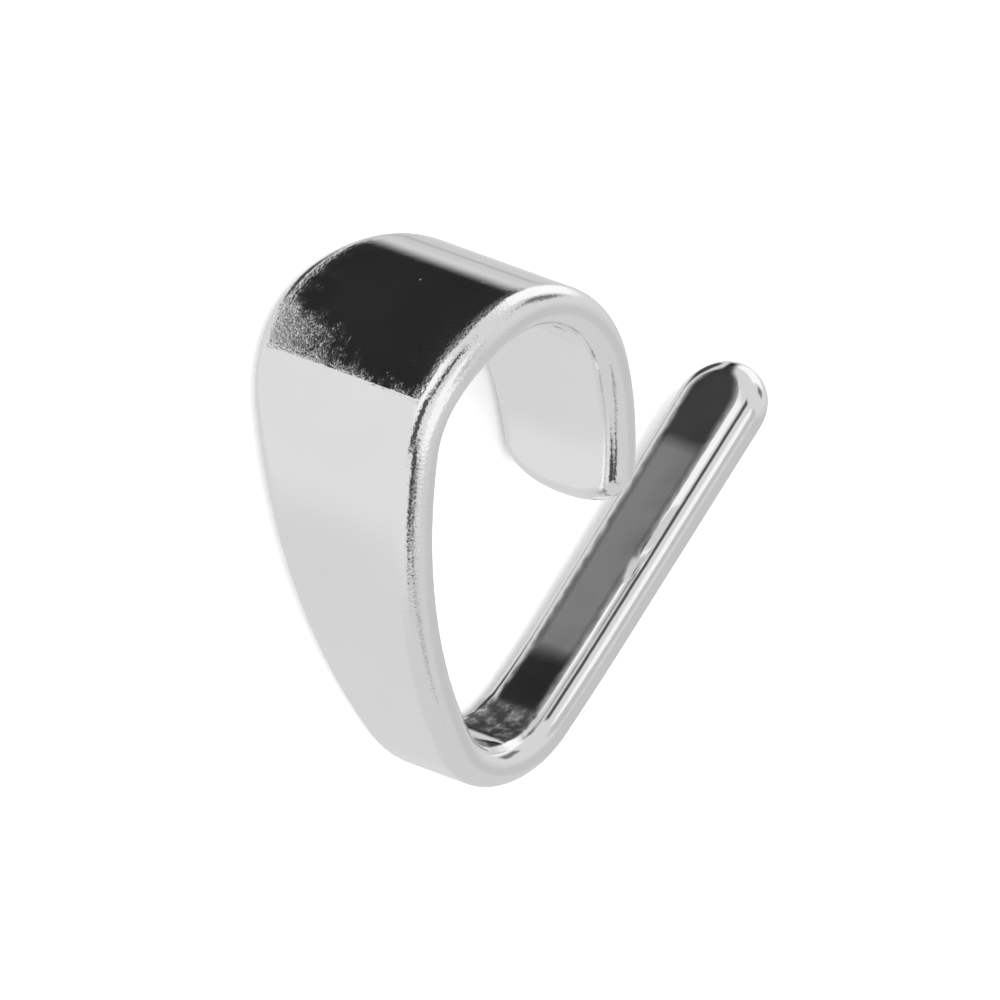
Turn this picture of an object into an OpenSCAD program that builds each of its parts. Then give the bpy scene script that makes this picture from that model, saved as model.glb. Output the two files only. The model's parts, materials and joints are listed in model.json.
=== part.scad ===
// Bail finding in polished silver: one strip, cut flat as a long kite and bent.
// The wide end makes the loop that a chain runs through, the narrow end makes
// the tongue that a pendant hangs on. The strip runs from the curl's end over
// the crown, the shoulder, the front and the toe to the tongue's tip. It turns
// to the left all along, so its outer face is on the right of its run.
// The bail lies on its side, as it does when it is put down: the crown points
// along +Y and the tongue along +X. The origin is under the middle of its
// bounding box, on the surface that it lies on. Sizes are in millimetres and
// degrees, and a bend's radius is that of the middle of the metal.

/* [Whole] */
// Height from the toe to the crown
height = 7.5; // [6.6:0.1:9]
// Depth from the front to the tongue's tip
depth = 8; // [7:0.1:10]
// Thickness of the strip
metal = 0.57; // [0.45:0.01:0.75]
// Radius that the strip's edges are polished to
edge_r = 0.26; // [0.08:0.01:0.28]

/* [Bends] */
// Length of the curl's end, behind the crown
curl_len = 2.3; // [1:0.1:3]
// Radius of the curl's end
curl_r = 5.3; // [3:0.1:20]
// Radius of the crown
crown_r = 2.2; // [1.8:0.05:2.6]
// Turn of the crown behind its top
crown_back = 69; // [50:1:85]
// Turn of the crown before its top
crown_front = 31; // [15:1:45]
// Radius of the shoulder
shoulder_r = 1.46; // [1:0.02:2.2]
// Turn of the shoulder
shoulder_turn = 58; // [45:1:70]
// Turn of the front, which bows inward to the toe
front_turn = 34; // [20:1:50]
// Radius of the toe
toe_r = 1.43; // [0.9:0.02:1.8]
// Length of the slight bow between the toe and the straight tongue
bow_len = 1.3; // [0.5:0.1:2.5]
// Turn of that bow
bow_turn = 5; // [1:0.5:12]
// Rise of the tongue
tongue_rise = 43; // [35:0.5:52]

/* [Blank] */
// Width at the curl's end, as its straight sides would meet it
curl_w = 2.03; // [1.4:0.01:2.6]
// Width where the crown meets the shoulder, as the straight sides would meet
brow_w = 3.57; // [2.6:0.01:4.4]
// Width at the toe, where the taper ends
toe_w = 1.29; // [1:0.01:1.8]
// Width at the tongue's tip
tip_w = 1.4; // [1:0.01:1.8]
// Turn of the toe at which the taper ends
taper_end = 66; // [30:1:90]
// Length to each side over which the widest corner is rounded
brow_blend = 0.6; // [0.2:0.05:1.5]
// Length to each side over which the taper eases into the tongue
toe_blend = 1.8; // [0.4:0.05:2.2]
// Length of the curl's rounded end
curl_cap = 0.55; // [0.5:0.01:0.9]
// Squareness of the curl's rounded end, 2 for an ellipse
curl_square = 2.3; // [2:0.05:3]

/* [Hidden] */

// Turn between two sections of a bend
bend_step = 5;
// Length between two sections of the straight tongue
straight_step = 0.6;
// Least length between the curl's rounded end and the next section
least_step = 0.1;
// Sections of each rounded end
cap_steps = 9;
// Steps of each polished edge
edge_steps = 5;
// Rounds of finding the three points that the bail lies on
lay_rounds = 6;

// Headings count anticlockwise from +X. The crown's top heads 180, the
// foremost point of the front heads 270 and the lowest of the toe heads 360.
top_heading = 180;
front_heading = 270;
foot_heading = 360;
curl_turn = curl_len / curl_r * 180 / PI;
first_heading = top_heading - crown_back - curl_turn;
shoulder_start = top_heading + crown_front;
front_start = shoulder_start + shoulder_turn;
toe_start = front_start + front_turn;
toe_turn = foot_heading + tongue_rise - bow_turn - toe_start;
bow_r = bow_len / bow_turn * 180 / PI;

// The front's radius is what the height leaves for it
front_r = (height - metal - crown_r * (cos(shoulder_start) - cos(top_heading))
           - shoulder_r * (cos(front_start) - cos(shoulder_start))
           - toe_r * (cos(foot_heading) - cos(toe_start))) / (cos(toe_start) - cos(front_start));

// Each bend's name, radius and turn, from the curl's end to the straight tongue
bends = [["curl", curl_r, curl_turn],
         ["crown", crown_r, crown_back + crown_front],
         ["shoulder", shoulder_r, shoulder_turn],
         ["front", front_r, front_turn],
         ["toe", toe_r, toe_turn],
         ["bow", bow_r, bow_turn]];
tongue = len(bends);
function radius(i) = bends[i][1];
function turn(i) = bends[i][2];
function number(name) = search([name], bends)[0];

// Length along the strip, heading, and place of the middle of the metal where
// each bend starts, and last where the straight tongue starts
function bend_len(i) = radius(i) * turn(i) * PI / 180;
function arc(r, h, turn) = r * [sin(h + turn) - sin(h), cos(h) - cos(h + turn)];
function length_at(i) = i == 0 ? 0 : length_at(i - 1) + bend_len(i - 1);
function heading_at(i) = i == 0 ? first_heading : heading_at(i - 1) + turn(i - 1);
function place_at(i) =
    i == 0 ? [0, 0] : place_at(i - 1) + arc(radius(i - 1), heading_at(i - 1), turn(i - 1));
lengths = [for (i = [0 : tongue]) length_at(i)];
headings = [for (i = [0 : tongue]) heading_at(i)];
places = [for (i = [0 : tongue]) place_at(i)];

// The straight tongue is as long as the depth needs, from the foremost point
// of the front's outer face to the furthest point of its rounded tip
rim_r = min(edge_r, metal * 0.48);
to_front = [for (i = [0 : tongue - 1])
            let (from = min(headings[i], front_heading), to = min(headings[i + 1], front_heading))
            radius(i) * (sin(to) - sin(from))];
front_x = to_front * [for (x = to_front) 1] - metal / 2;
tip_reach = rim_r * (1 - cos(tongue_rise)) + (metal / 2 - rim_r) * sin(tongue_rise);
straight_len = (depth - (places[tongue].x - front_x) - tip_reach) / cos(tongue_rise);
strip_len = lengths[tongue] + straight_len;

// Bend that holds length s along the strip
function bend_at(s, i = 0) = i == tongue || s < lengths[i + 1] ? i : bend_at(s, i + 1);

// Point of the bent strip at length s, width w and height t above the middle
// of the metal, towards its outer face
function bent(s, w, t) =
    let (i = bend_at(s), on = s - lengths[i],
         turned = i == tongue ? 0 : on / radius(i) * 180 / PI,
         run = i == tongue ? on * [cos(tongue_rise), sin(tongue_rise)] : arc(radius(i), headings[i], turned),
         h = headings[i] + turned,
         p = places[i] + run + t * [sin(h), -cos(h)])
    [p.x, p.y, w];

// The flat blank has straight sides. Each of their corners is rounded over a
// length to each side of it.
brow_at = lengths[number("shoulder")];
taper_at = lengths[number("toe")] + toe_r * taper_end * PI / 180;
curl_slope = (brow_w - curl_w) / brow_at;
taper_slope = (toe_w - brow_w) / (taper_at - brow_at);
tongue_slope = (tip_w - toe_w) / (strip_len - taper_at);
function past(s, blend) = s >= blend ? s : s <= -blend ? 0 : pow(s + blend, 2) / (4 * blend);
function side_at(s) = (curl_w + curl_slope * s
                       + (taper_slope - curl_slope) * past(s - brow_at, brow_blend)
                       + (tongue_slope - taper_slope) * past(s - taper_at, toe_blend)) / 2;

// Outline of the blank, up one side from the middle of the curl's end to the
// middle of the tongue's tip, and back down the other
tip_cap = tip_w / 2;
straight_n = ceil(straight_len / straight_step);
curl_end = [for (i = [1 : cap_steps])
            let (a = 90 * i / cap_steps, s = curl_cap * (1 - pow(cos(a), 2 / curl_square)))
            [s, side_at(s) * pow(sin(a), 2 / curl_square)]];
bent_side = [for (i = [0 : tongue - 1]) let (n = ceil(turn(i) / bend_step))
             for (k = [0 : n - 1]) let (s = lengths[i] + bend_len(i) * k / n)
             if (s > curl_cap + least_step) [s, side_at(s)]];
straight_side = [for (k = [0 : straight_n])
                 let (s = lengths[tongue] + (straight_len - tip_cap) * k / straight_n) [s, side_at(s)]];
tip_end = [for (i = [1 : cap_steps - 1])
           let (a = 90 * i / cap_steps, s = strip_len - tip_cap * (1 - sin(a))) [s, side_at(s) * cos(a)]];
up_side = concat([[0, 0]], curl_end, bent_side, straight_side, tip_end, [[strip_len, 0]]);
top = len(up_side) - 1;
outline = concat(up_side, [for (i = [top - 1 : -1 : 1]) [up_side[i].x, -up_side[i].y]]);
count = len(outline);

// Direction out of the outline at each of its points
outward = [for (i = [0 : count - 1])
           let (d = outline[(i + 1) % count] - outline[(i + count - 1) % count]) [-d.y, d.x] / norm(d)];

// Inset and height of each line along the polished edge, from the outer face
// to the inner, and the lines' points on the bent strip
rounding = [for (k = [0 : edge_steps]) let (a = 90 * k / edge_steps)
            [rim_r * (1 - sin(a)), metal / 2 - rim_r * (1 - cos(a))]];
edge = concat(rounding, [for (k = [edge_steps : -1 : 0]) [rounding[k][0], -rounding[k][1]]]);
last = len(edge) - 1;
standing = [for (k = [0 : last], i = [0 : count - 1])
            let (p = outline[i] - edge[k][0] * outward[i]) bent(p.x, p.y, edge[k][1])];

// The strip is widest at the brow, so on its side it lies on three points of
// its rim: one at the curl, one at the brow and one at the toe
function middle(i) = lengths[i] + bend_len(i) / 2;
crown_mid = middle(number("crown"));
front_mid = middle(number("front"));
function zone(from, to) = [for (k = [0 : last], i = [0 : count - 1])
                           if (outline[i].x >= from && outline[i].x < to) standing[k * count + i]];
curl_pts = zone(0, crown_mid);
brow_pts = zone(crown_mid, front_mid);
toe_pts = zone(front_mid, strip_len);
function lowest(pts, up) =
    let (h = pts * up, least = min(h)) [for (i = [0 : len(h) - 1]) if (h[i] == least) pts[i]][0];
function settled(up, rounds) =
    let (a = lowest(curl_pts, up), b = lowest(brow_pts, up), c = lowest(toe_pts, up),
         n = cross(b - a, c - a))
    rounds < 1 ? up : settled(n / norm(n) * sign(n.z), rounds - 1);

// Axes of the lying bail, and its place over the middle of its bounding box
up = settled([0, 0, 1], lay_rounds);
along = ([1, 0, 0] - up.x * up) / norm([up.y, up.z]);
across = cross(up, along);
lying = [for (p = standing) [p * along, p * across, p * up]];
low = [for (k = [0 : 2]) min([for (p = lying) p[k]])];
high = [for (k = [0 : 2]) max([for (p = lying) p[k]])];
base = [(low.x + high.x) / 2, (low.y + high.y) / 2, low.z];

// The bail: bands along its polished edge, closed by its outer and inner face
module bail() {
    bands = [for (k = [0 : last - 1], i = [0 : count - 1]) let (j = (i + 1) % count)
             [k * count + i, (k + 1) * count + i, (k + 1) * count + j, k * count + j]];
    outer_face = concat([[0, 1, count - 1]],
                        [for (i = [1 : top - 2]) [i, i + 1, count - i - 1, count - i]],
                        [[top - 1, top, top + 1]]);
    inner_face = [for (f = outer_face) [for (k = [len(f) - 1 : -1 : 0]) last * count + f[k]]];
    color("silver") translate(-base) polyhedron(lying, concat(bands, outer_face, inner_face));
}

bail();
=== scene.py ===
"""Bail finding in polished silver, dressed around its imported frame.

One strip of silver makes the whole bail. It lies on its side, as it does when
it is put down, and the camera looks at it from the photograph's angle.
"""
import json
import math

import bmesh
import bpy
from mathutils import Matrix, Vector


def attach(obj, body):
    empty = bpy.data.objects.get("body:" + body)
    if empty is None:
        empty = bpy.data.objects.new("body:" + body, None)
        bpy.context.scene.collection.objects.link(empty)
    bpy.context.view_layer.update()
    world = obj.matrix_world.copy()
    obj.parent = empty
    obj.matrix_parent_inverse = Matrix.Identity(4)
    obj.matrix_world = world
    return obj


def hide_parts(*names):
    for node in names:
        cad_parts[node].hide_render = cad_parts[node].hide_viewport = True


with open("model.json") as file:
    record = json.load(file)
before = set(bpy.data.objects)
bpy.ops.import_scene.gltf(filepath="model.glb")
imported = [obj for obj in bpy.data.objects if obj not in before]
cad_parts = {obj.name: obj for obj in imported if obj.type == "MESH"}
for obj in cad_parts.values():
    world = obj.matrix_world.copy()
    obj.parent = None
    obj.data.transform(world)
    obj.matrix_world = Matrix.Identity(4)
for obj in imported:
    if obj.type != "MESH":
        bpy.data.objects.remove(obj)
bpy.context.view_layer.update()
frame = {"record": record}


# ---- The bail ----------------------------------------------------------------
# One strip of sterling silver, sawn out flat as a long kite with rounded ends. Its
# edges are filed and polished round, and it is bent over mandrels. Its sizes are
# millimetres and degrees, and it is scaled to metres when it is laid in its place.
height, depth, metal, edge_r, tongue_rise = 7.5, 8.0, 0.57, 0.26, 43.0
curl_len, curl_r, crown_r, crown_back, crown_front = 2.3, 5.3, 2.2, 69.0, 31.0
shoulder_r, shoulder_turn, front_turn, toe_r = 1.46, 58.0, 34.0, 1.43
bow_len, bow_turn = 1.3, 5.0
curl_w, brow_w, toe_w, tip_w = 2.03, 3.57, 1.29, 1.4
taper_end, brow_blend, toe_blend = 66.0, 0.6, 1.8
curl_cap, curl_square = 0.55, 2.3


def sin(degrees):
    return math.sin(math.radians(degrees))


def cos(degrees):
    return math.cos(math.radians(degrees))


def arc(radius, heading, turn):
    """Run of a bend that starts on a heading and turns to the left."""
    return radius * Vector((sin(heading + turn) - sin(heading), cos(heading) - cos(heading + turn)))


# Headings count anticlockwise from the depth: the crown's top heads 180, the
# foremost point of the front 270 and the lowest point of the toe 360
curl_turn = math.degrees(curl_len / curl_r)
shoulder_start = 180 + crown_front
front_start = shoulder_start + shoulder_turn
toe_start = front_start + front_turn
toe_turn = 360 + tongue_rise - bow_turn - toe_start
front_r = (height - metal - crown_r * (cos(shoulder_start) - cos(180))
           - shoulder_r * (cos(front_start) - cos(shoulder_start))
           - toe_r * (cos(360) - cos(toe_start))) / (cos(toe_start) - cos(front_start))
bends = [("curl", curl_r, curl_turn), ("crown", crown_r, crown_back + crown_front),
         ("shoulder", shoulder_r, shoulder_turn), ("front", front_r, front_turn),
         ("toe", toe_r, toe_turn), ("bow", bow_len / math.radians(bow_turn), bow_turn)]

# Length along the strip, heading and place where each bend starts
starts, at, heading, place, front_x = {}, 0.0, 180 - crown_back - curl_turn, Vector((0, 0)), 0.0
for name, radius, turn in bends:
    starts[name] = (at, heading, place, radius)
    front_x += radius * (sin(min(heading + turn, 270)) - sin(min(heading, 270)))
    at += radius * math.radians(turn)
    place = place + arc(radius, heading, turn)
    heading += turn
starts["tongue"] = (at, heading, place, None)
rim_r = min(edge_r, metal * 0.48)
tip_reach = rim_r * (1 - cos(tongue_rise)) + (metal / 2 - rim_r) * sin(tongue_rise)
straight_len = (depth - (place.x - front_x + metal / 2) - tip_reach) / cos(tongue_rise)
strip_len = at + straight_len


def bent(s, w, t):
    """Point of the bent strip at length s, width w and height t, outward."""
    start, heading, place, radius = [b for b in starts.values() if b[0] <= max(s, 0)][-1]
    if radius is None:
        run = (s - start) * Vector((cos(heading), sin(heading)))
    else:
        turned = math.degrees((s - start) / radius)
        run = arc(radius, heading, turned)
        heading += turned
    p = place + run + t * Vector((sin(heading), -cos(heading)))
    return Vector((p.x, p.y, w))


# Half the width of the blank: straight sides whose corners are rounded
brow_at = starts["shoulder"][0]
taper_at = starts["toe"][0] + toe_r * math.radians(taper_end)
curl_slope = (brow_w - curl_w) / brow_at
taper_slope = (toe_w - brow_w) / (taper_at - brow_at)
tongue_slope = (tip_w - toe_w) / (strip_len - taper_at)


def past(s, blend):
    return s if s >= blend else 0 if s <= -blend else (s + blend) ** 2 / (4 * blend)


def side_at(s):
    return (curl_w + curl_slope * s + (taper_slope - curl_slope) * past(s - brow_at, brow_blend)
            + (tongue_slope - taper_slope) * past(s - taper_at, toe_blend)) / 2


# One side of the blank's outline, from the curl's end to the tongue's tip
bend_step, straight_step, cap_steps, least_step = 1.5, 0.15, 24, 0.03
side = [(0.0, 0.0)]
for i in range(1, cap_steps + 1):
    a = 90 * i / cap_steps
    s = curl_cap * (1 - max(cos(a), 0) ** (2 / curl_square))
    side.append((s, side_at(s) * sin(a) ** (2 / curl_square)))
for name, radius, turn in bends:
    n = math.ceil(turn / bend_step)
    for k in range(n):
        s = starts[name][0] + radius * math.radians(turn * k / n)
        if s > curl_cap + least_step:
            side.append((s, side_at(s)))
tip_cap = tip_w / 2
n = math.ceil(straight_len / straight_step)
for k in range(n + 1):
    s = starts["tongue"][0] + (straight_len - tip_cap) * k / n
    side.append((s, side_at(s)))
for i in range(1, cap_steps):
    a = 90 * i / cap_steps
    s = strip_len - tip_cap * (1 - sin(a))
    side.append((s, side_at(s) * cos(a)))
side.append((strip_len, 0.0))
outline = side + [(s, -w) for s, w in side[-2:0:-1]]

# Sawn out flat: a disc whose rim is moved onto the outline, as thick as the metal
blank = bmesh.new()
rim = bmesh.ops.create_circle(blank, cap_ends=True, radius=1, segments=len(outline))["verts"]
for vert, (s, w) in zip(rim, outline):
    vert.co = (s, w, -metal / 2)
grown = bmesh.ops.extrude_face_region(blank, geom=blank.faces[:])["geom"]
lifted = [g for g in grown if isinstance(g, bmesh.types.BMVert)]
bmesh.ops.translate(blank, vec=(0, 0, metal), verts=lifted)

# Filed and polished round along both edges
edge_steps = 8
rims = [e for e in blank.edges if e.verts[0].co.z * e.verts[1].co.z > 0]
bmesh.ops.bevel(blank, geom=rims, affect="EDGES", offset=rim_r, offset_type="OFFSET",
                segments=edge_steps, profile=0.5, material=-1, clamp_overlap=False)

# Rungs across both faces, so that they bend smoothly. Polishing has eased the
# faces a little along their edges. The four even cuts of a rung fall at 0.2 and
# 0.6 of its half, and each is moved outward to near the rung's end.
eased, flat_from = 0.15, 0.45
rungs = []
for face in [f for f in blank.faces if len(f.verts) == len(outline)]:
    loop = list(face.verts)
    first = min(range(len(loop)), key=lambda i: loop[i].co.x)
    loop = loop[first:] + loop[:first]
    for i in range(1, len(loop) // 2):
        rungs += bmesh.ops.connect_verts(blank, verts=[loop[i], loop[-i]])["edges"]
cut = bmesh.ops.subdivide_edges(blank, edges=rungs, cuts=4, use_grid_fill=True)
inner = [g for g in cut["geom_inner"] if isinstance(g, bmesh.types.BMVert)]
halves = {}
for vert in inner:
    rung = (round(vert.co.x, 5), vert.co.z > 0)
    halves[rung] = max(halves.get(rung, 0), abs(vert.co.y) * 5 / 3)
for vert in inner:
    half = halves[round(vert.co.x, 5), vert.co.z > 0]
    near_edge = abs(vert.co.y) > 0.4 * half
    inset = max(half - eased, half * 0.6) if near_edge else max(half - flat_from, half * 0.2)
    vert.co.y = math.copysign(inset, vert.co.y)

# The flat faces keep the rolled sheet's mirror, and the edges were buffed by hand.
# The wheel left the rims a little uneven, the near one by the brow the most. It
# hardly reached the inside of the toe, which is rough and cloudy; the strongest of
# that mark is also painted dark there, as a painted dark reflection. The wheel left
# the tongue's inner face satin, and skipped the far side of the brow. Each point of
# the strip has its share of every mark. A pair here is the place with none of a mark
# and the place with all of it, most of them in length along the strip.
marks = "fine", "coarse", "skipped", "satin"
rim_wide, tongue_from, tongue_rim = 0.13, (12.5, 13.5), 0.15
near_start, near_end, brow_rough, brow_to = (5.1, 5.4), (11.5, 10.5), 2.5, 6.2
cloud_start, cloud_end = (14.0, 14.2), (15.0, 14.75)
satin_start, satin_end, tip_satin = (15.75, 15.95), (19.35, 19.15), 0.25
skip_inset, skip_crown, skip_brow, skip_end = (1.2, 0.3), (4.3, 5.0), (6.2, 6.5), (6.96, 6.9)
crown_share, streak_start, streak_share = 0.5, (6.6, 6.85), 0.6


def fade(x, span):
    """0 up to the span's first place, 1 from its second, and straight between."""
    none, full = span
    return min(max((x - none) / (full - none), 0), 1)


fine, coarse, skipped, satin = [blank.verts.layers.float.new(mark) for mark in marks]
for vert in blank.verts:
    s, w, t = vert.co
    side_here = side_at(s)
    from_edge = min(side_here - abs(w), s, strip_len - s)
    edge = fade(from_edge, (rim_r + rim_wide * side_here, rim_r))
    on_tongue = fade(s, tongue_from)
    vert[fine] = edge * (1 - on_tongue)
    vert[coarse] = edge * on_tongue * tongue_rim
    if t < 0:
        thinned = tip_satin + (1 - tip_satin) * fade(s, satin_end)
        vert[satin] = fade(s, satin_start) * thinned * (1 - edge)
        # The cloudy inside of the toe: rough and rippled, and its strongest part is painted dark
        # below as a painted dark reflection.
        vert[coarse] += fade(s, cloud_start) * fade(s, cloud_end) * (w < 0 or edge < 1)
    if w > 0 and edge == 1:
        vert[fine] += fade(s, near_start) * fade(s, near_end) * (brow_rough if s < brow_to else 1)
    if t > 0:
        far_in = fade(w + side_here, skip_inset)
        by_edge = far_in * (crown_share * fade(s, skip_crown) + fade(s, skip_brow))
        vert[skipped] = fade(s, skip_end) * max(by_edge, streak_share * fade(s, streak_start))

# Bent, and laid in its place: the crown's round is centred on the loop's mount
# and the straight tongue runs along the tongue's mount
for vert in blank.verts:
    vert.co = bent(*vert.co)
mounts = {m["name"]: m for m in frame["record"]["mounts"]}
width_axis = Vector(mounts["loop"]["axis"])
tongue_axis = Vector(mounts["tongue"]["axis"])
depth_axis = cos(tongue_rise) * tongue_axis + sin(tongue_rise) * tongue_axis.cross(width_axis)
height_axis = width_axis.cross(depth_axis)
axes = Matrix((depth_axis, height_axis, width_axis)).transposed()
_, crown_heading, crown_place, _ = starts["crown"]
centre = crown_place + crown_r * Vector((-sin(crown_heading), cos(crown_heading)))
to_metres = 0.001
lay = (Matrix.Translation(Vector(mounts["loop"]["pos_m"])) @ axes.to_4x4()
       @ Matrix.Scale(to_metres, 4) @ Matrix.Translation(-centre.to_3d()))
bmesh.ops.transform(blank, matrix=lay, verts=blank.verts)
bmesh.ops.recalc_face_normals(blank, faces=blank.faces)
strip_mesh = bpy.data.meshes.new("bail_strip")
blank.to_mesh(strip_mesh)
blank.free()
strip_mesh.shade_smooth()
strip = bpy.data.objects.new("bail_strip", strip_mesh)
bpy.context.scene.collection.objects.link(strip)


class Tone:
    """A shader socket. Arithmetic on it adds the Math nodes that work it out."""

    def __init__(self, socket):
        self.socket = socket

    @staticmethod
    def node(tree, kind, settings, sockets):
        made = tree.nodes.new("ShaderNode" + kind)
        for key, value in settings.items():
            setattr(made, key, value)
        for key, value in sockets.items():
            if isinstance(value, Tone):
                tree.links.new(value.socket, made.inputs[key])
            else:
                made.inputs[key].default_value = value
        return made

    def math(self, operation, *others):
        sockets = dict(enumerate((self, *others)))
        made = Tone.node(self.socket.id_data, "Math", {"operation": operation}, sockets)
        return Tone(made.outputs[0])

    def __add__(self, other):
        return self.math("ADD", other)

    def __sub__(self, other):
        return self.math("SUBTRACT", other)

    def __rsub__(self, other):
        return self.math("MULTIPLY_ADD", -1, other)

    def __mul__(self, other):
        return self.math("MULTIPLY", other)

    __radd__, __rmul__ = __add__, __mul__

    def step(self, low, high):
        """0 below low, 1 above high, and a smooth rise between."""
        made = Tone.node(self.socket.id_data, "MapRange", {"interpolation_type": "SMOOTHSTEP"},
                         {"Value": self, "From Min": low, "From Max": high})
        return Tone(made.outputs["Result"])


# Mirror polish off the buffing wheel. A slight peel in the surface breaks up the
# edges of what it mirrors, and handling has left a few tiny pits. Where the wheel
# hardly reached, the surface is rippled, and inside the toe its colour is painted
# near black as a painted dark reflection.
silver = bpy.data.materials.new("polished_silver")
silver.use_nodes = True
tree = silver.node_tree
tree.nodes.clear()
spot = Tone(Tone.node(tree, "TexCoord", {}, {}).outputs["Object"])


def grains(per_mm):
    """Place on the strip, in units of which so many make a millimetre."""
    put = Tone.node(tree, "Mapping", {}, {"Vector": spot, "Scale": [per_mm / to_metres] * 3})
    return Tone(put.outputs[0])


def noise(per_mm, detail):
    """Noise with so many grains per millimetre."""
    made = Tone.node(tree, "TexNoise", {}, {"Vector": grains(per_mm), "Scale": 1.0,
                                            "Detail": detail, "Roughness": 0.55})
    return Tone(made.outputs["Fac"])


def worked(mark):
    """Share that a place has of a mark."""
    return Tone(Tone.node(tree, "Attribute", {"attribute_name": mark}, {}).outputs["Fac"])


def blend(mask, under, upper):
    """The under colour, with the upper one over it where the mask says so."""
    made = Tone.node(tree, "Mix", {"data_type": "RGBA"}, {"Factor": mask, 6: under, 7: upper})
    return Tone(made.outputs[2])


# Heights of the marks, in thousandths of a millimetre
peel_high, rim_high, skip_high, cloud_high, pit_deep = 1.0, 2.6, 5.0, 9.0, 0.8
peel, ripple, blotch, cloud = noise(3.0, 2.0), noise(22.0, 2.0), noise(7.0, 0.0), noise(0.7, 2.0)
mottle = (worked("skipped") + (noise(4.0, 3.0) - 0.5) * 0.9).step(0.3, 1.0)
cells = Tone.node(tree, "TexVoronoi", {"feature": "F1"}, {"Vector": grains(2.2), "Scale": 1.0})
pit = 1 - Tone(cells.outputs["Distance"]).step(0.012, 0.04)
relief = (peel * peel_high + ripple * (worked("fine") * rim_high + mottle * skip_high)
          + blotch * worked("coarse") * cloud_high - pit * pit_deep)
bump = Tone.node(tree, "Bump", {}, {
    "Height": relief, "Strength": 1.0, "Distance": to_metres / 1000})

# Bare silver, duller in slow clouds of handling and in the pits, with a painted
# dark reflection inside the toe. The roughness is that of the polish, and each mark
# adds its own.
bright, dull, painted_dark_reflection = (0.93, 0.929, 0.927, 1), (0.87, 0.866, 0.86, 1), (0.26, 0.255, 0.25, 1)
handled = cloud.step(0.3, 0.7) * 0.35 + pit * 0.6
# Painted dark reflection: near-black colour in noisy patches where the toe's inside has its
# strongest coarse mark.
painted_reflection_mask = worked("coarse").step(0.3, 1.0) * noise(6.0, 3.0).step(0.35, 0.6)
rough = (0.04 + 0.03 * cloud.step(0.35, 0.65) + 0.03 * mottle + 0.16 * worked("coarse")
         + 0.2 * pit + 0.12 * worked("satin"))
coat = Tone.node(tree, "BsdfPrincipled", {}, {
    "Base Color": blend(painted_reflection_mask, blend(handled, bright, dull), painted_dark_reflection), "Metallic": 1.0,
    "Roughness": rough, "Normal": Tone(bump.outputs[0])})
Tone.node(tree, "OutputMaterial", {}, {"Surface": Tone(coat.outputs[0])})
strip_mesh.materials.append(silver)
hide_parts("bail")
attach(strip, "root")


# ---- Floor -------------------------------------------------------------------
# A sheet of plain white board. The silver mirrors only the light tent, so the board
# doesn't show in it.
board = bmesh.new()
bmesh.ops.create_grid(board, x_segments=1, y_segments=1, size=3.0)
floor_mesh = bpy.data.meshes.new("floor")
board.to_mesh(floor_mesh)
board.free()
floor = bpy.data.objects.new("floor", floor_mesh)
bpy.context.scene.collection.objects.link(floor)
floor.visible_glossy = False
white = bpy.data.materials.new("white_board")
white.use_nodes = True
paper = white.node_tree.nodes["Principled BSDF"]
paper.inputs["Base Color"].default_value = (0.86, 0.86, 0.86, 1)
paper.inputs["Roughness"].default_value = 0.9
paper.inputs["Specular IOR Level"].default_value = 0.0
floor_mesh.materials.append(white)


# ---- Light tent --------------------------------------------------------------
# White cloth all round with dark and bright cards in it, as a jeweller's tent
# has, because a mirror shows only what stands round it. The board gets plain white
# light instead, and so does the backdrop.
world = bpy.data.worlds.new("tent")
bpy.context.scene.world = world
world.use_nodes = True
world.cycles.sampling_method = "NONE"
tree = world.node_tree
tree.nodes.clear()
look = Tone(Tone.node(tree, "TexCoord", {}, {}).outputs["Generated"])


def along(direction):
    """How far the mirrored direction points along a direction of the bail."""
    made = Tone.node(tree, "VectorMath", {"operation": "DOT_PRODUCT"}, {0: look, 1: direction})
    return Tone(made.outputs["Value"])


# A card is given by the directions that it lies in: an angle in the bail's side
# plane, counted from its depth towards its height, and an angle out of that plane
# towards the near side. Its edges blur over some degrees to each side.
out = along(width_axis).math("ARCSINE").math("DEGREES")


def shine(grey):
    """Light that silver, which gives back 0.92 of it, mirrors as a screen's grey."""
    return ((grey / 255 + 0.055) / 1.055) ** 2.4 / 0.92


def hang(behind, grey, turns, outs, soft=(6, 6, 3, 3)):
    """What hangs already, with a card of this grey before it."""
    middle, half = (turns[0] + turns[1]) / 2, (turns[1] - turns[0]) / 2
    ahead = along(cos(middle) * depth_axis + sin(middle) * height_axis)
    beside = along(cos(middle) * height_axis - sin(middle) * depth_axis)
    turn = beside.math("ARCTAN2", ahead).math("DEGREES")
    covered = (turn.step(-half - soft[0], -half + soft[0])
               * (1 - turn.step(half - soft[1], half + soft[1]))
               * out.step(outs[0] - soft[2], outs[0] + soft[2])
               * (1 - out.step(outs[1] - soft[3], outs[1] + soft[3])))
    return behind * (1 - covered) + shine(grey) * covered


# The cloth, lighter before the bail and darker under it and under the tongue
tent = shine(213)
tent = hang(tent, 221, (150, 222), (-90, 90))
tent = hang(tent, 211, (228, 290), (-90, 90))
tent = hang(tent, 204, (232, 352), (-30, 60))
tent = hang(tent, 194, (321, 341), (-12, 52), (3, 3, 4, 4))
# Bright cards over the tongue, over the front and all along the near side
tent = hang(tent, 250, (8, 58), (-36, 6))
tent = hang(tent, 245, (112, 165), (-34, 2))
tent = hang(tent, 245, (70, 322), (57, 90), (6, 6, 4, 3))
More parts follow.
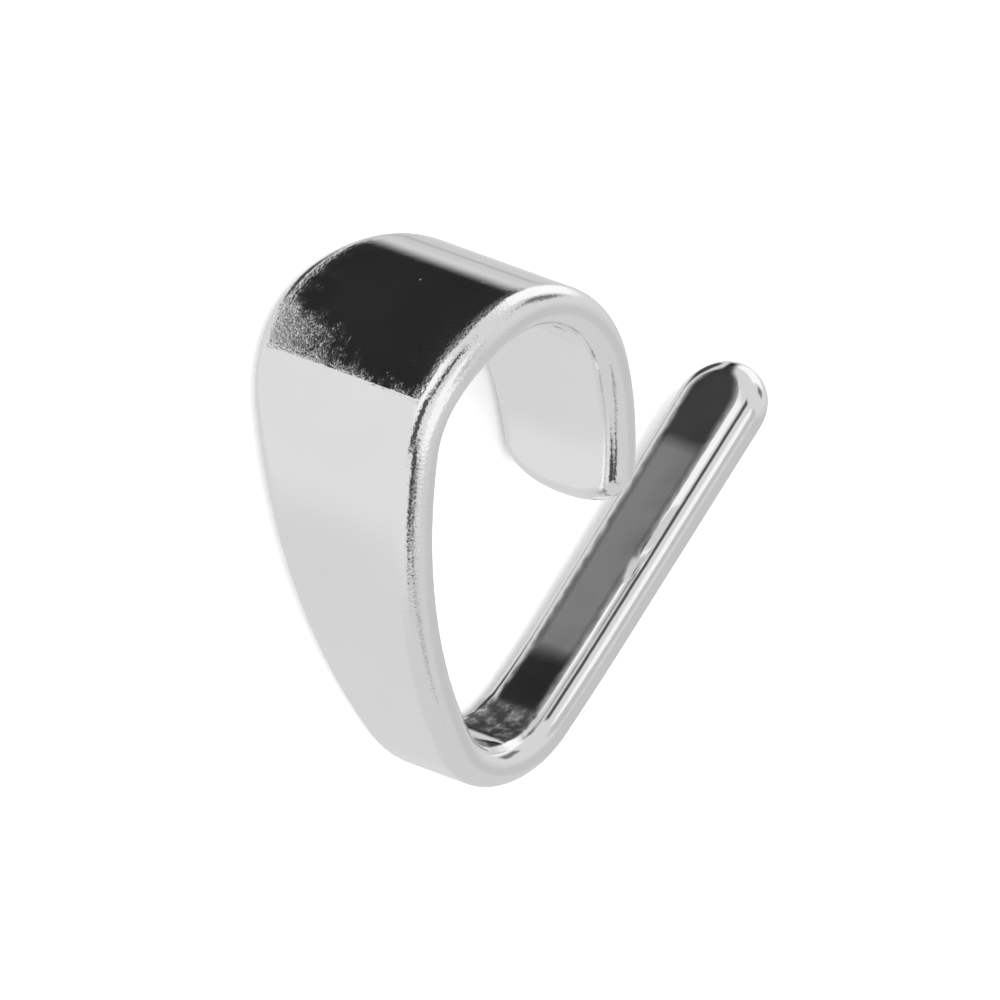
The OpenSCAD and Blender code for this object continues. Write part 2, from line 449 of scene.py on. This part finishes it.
# Grey cards past the tongue's tip, one on the near side and two on the far side
tent = hang(tent, 190, (-14, 62), (60, 90))
tent = hang(tent, 200, (-12, 20), (-60, -32), (8, 8, 3, 3))
tent = hang(tent, 176, (5, 9), (-46, -34), (2, 2, 3, 3))
# A long black card over the bail on its far side, and a dark one beyond it
tent = hang(tent, 38, (28, 152), (-44.5, -35.5), (8, 1, 1.5, 4.5))
tent = hang(tent, 70, (22, 100), (-68, -51), (6, 6, 3, 2))
# Small dark cards on the near side, each a dark line on a rim
tent = hang(tent, 80, (98, 150), (14, 32), (4, 4, 4, 4))
tent = hang(tent, 80, (148, 197), (-8, 23), (4, 4, 4, 4))
tent = hang(tent, 120, (12, 38), (12, 26), (4, 4, 2, 3))
tent = hang(tent, 75, (228, 246), (35.5, 45.5), (5, 4, 1.5, 1.5))
tent = hang(tent, 120, (250, 284), (37.5, 40.5), (5, 5, 1.5, 1.5))
tent = hang(tent, 75, (196, 230), (16, 40), (4, 4, 3, 3))

ray = Tone.node(tree, "LightPath", {}, {})
mirrored = Tone.node(tree, "Background", {}, {"Color": tent, "Strength": 1.0})
plain = Tone.node(tree, "Background", {}, {"Color": (1, 1, 1, 1), "Strength": 2.4})
both = Tone.node(tree, "MixShader", {}, {"Fac": Tone(ray.outputs["Is Glossy Ray"]),
                                         1: Tone(plain.outputs[0]), 2: Tone(mirrored.outputs[0])})
Tone.node(tree, "OutputWorld", {}, {"Surface": Tone(both.outputs[0])})

# A soft lamp overhead gives the board its shadow
soft_box = bpy.data.lights.new("soft_box", "AREA")
soft_box.shape, soft_box.size, soft_box.energy = "DISK", 0.25, 0.55
lamp = bpy.data.objects.new("soft_box", soft_box)
bpy.context.scene.collection.objects.link(lamp)
lamp.visible_glossy = False
lamp.location = (0.12, 0.2, 0.45)
lamp.rotation_euler = (-lamp.location).to_track_quat("-Z", "Y").to_euler()


# ---- Camera ------------------------------------------------------------------
# It sees the bail as the photograph does, from before its front, a little to its
# near side and above. The bail lies on its side, so the camera is rolled with it.
view_turn, view_rise, view_far, view_width = 44.5, 21.807, 0.5, 0.013376
back = (-cos(view_rise) * cos(view_turn) * depth_axis + sin(view_rise) * height_axis
        + cos(view_rise) * sin(view_turn) * width_axis)
right = height_axis.cross(back).normalized()
aim = Vector((-0.7316e-3, 0.0016e-3, 1.1089e-3))
camera_data = bpy.data.cameras.new("camera")
camera_data.angle = 2 * math.atan(view_width / 2 / view_far)
camera = bpy.data.objects.new("camera", camera_data)
bpy.context.scene.collection.objects.link(camera)
camera.matrix_world = (Matrix.Translation(aim + view_far * back)
                       @ Matrix((right, back.cross(right), back)).transposed().to_4x4())
bpy.context.scene.camera = camera
bpy.context.scene.view_settings.view_transform = "Standard"
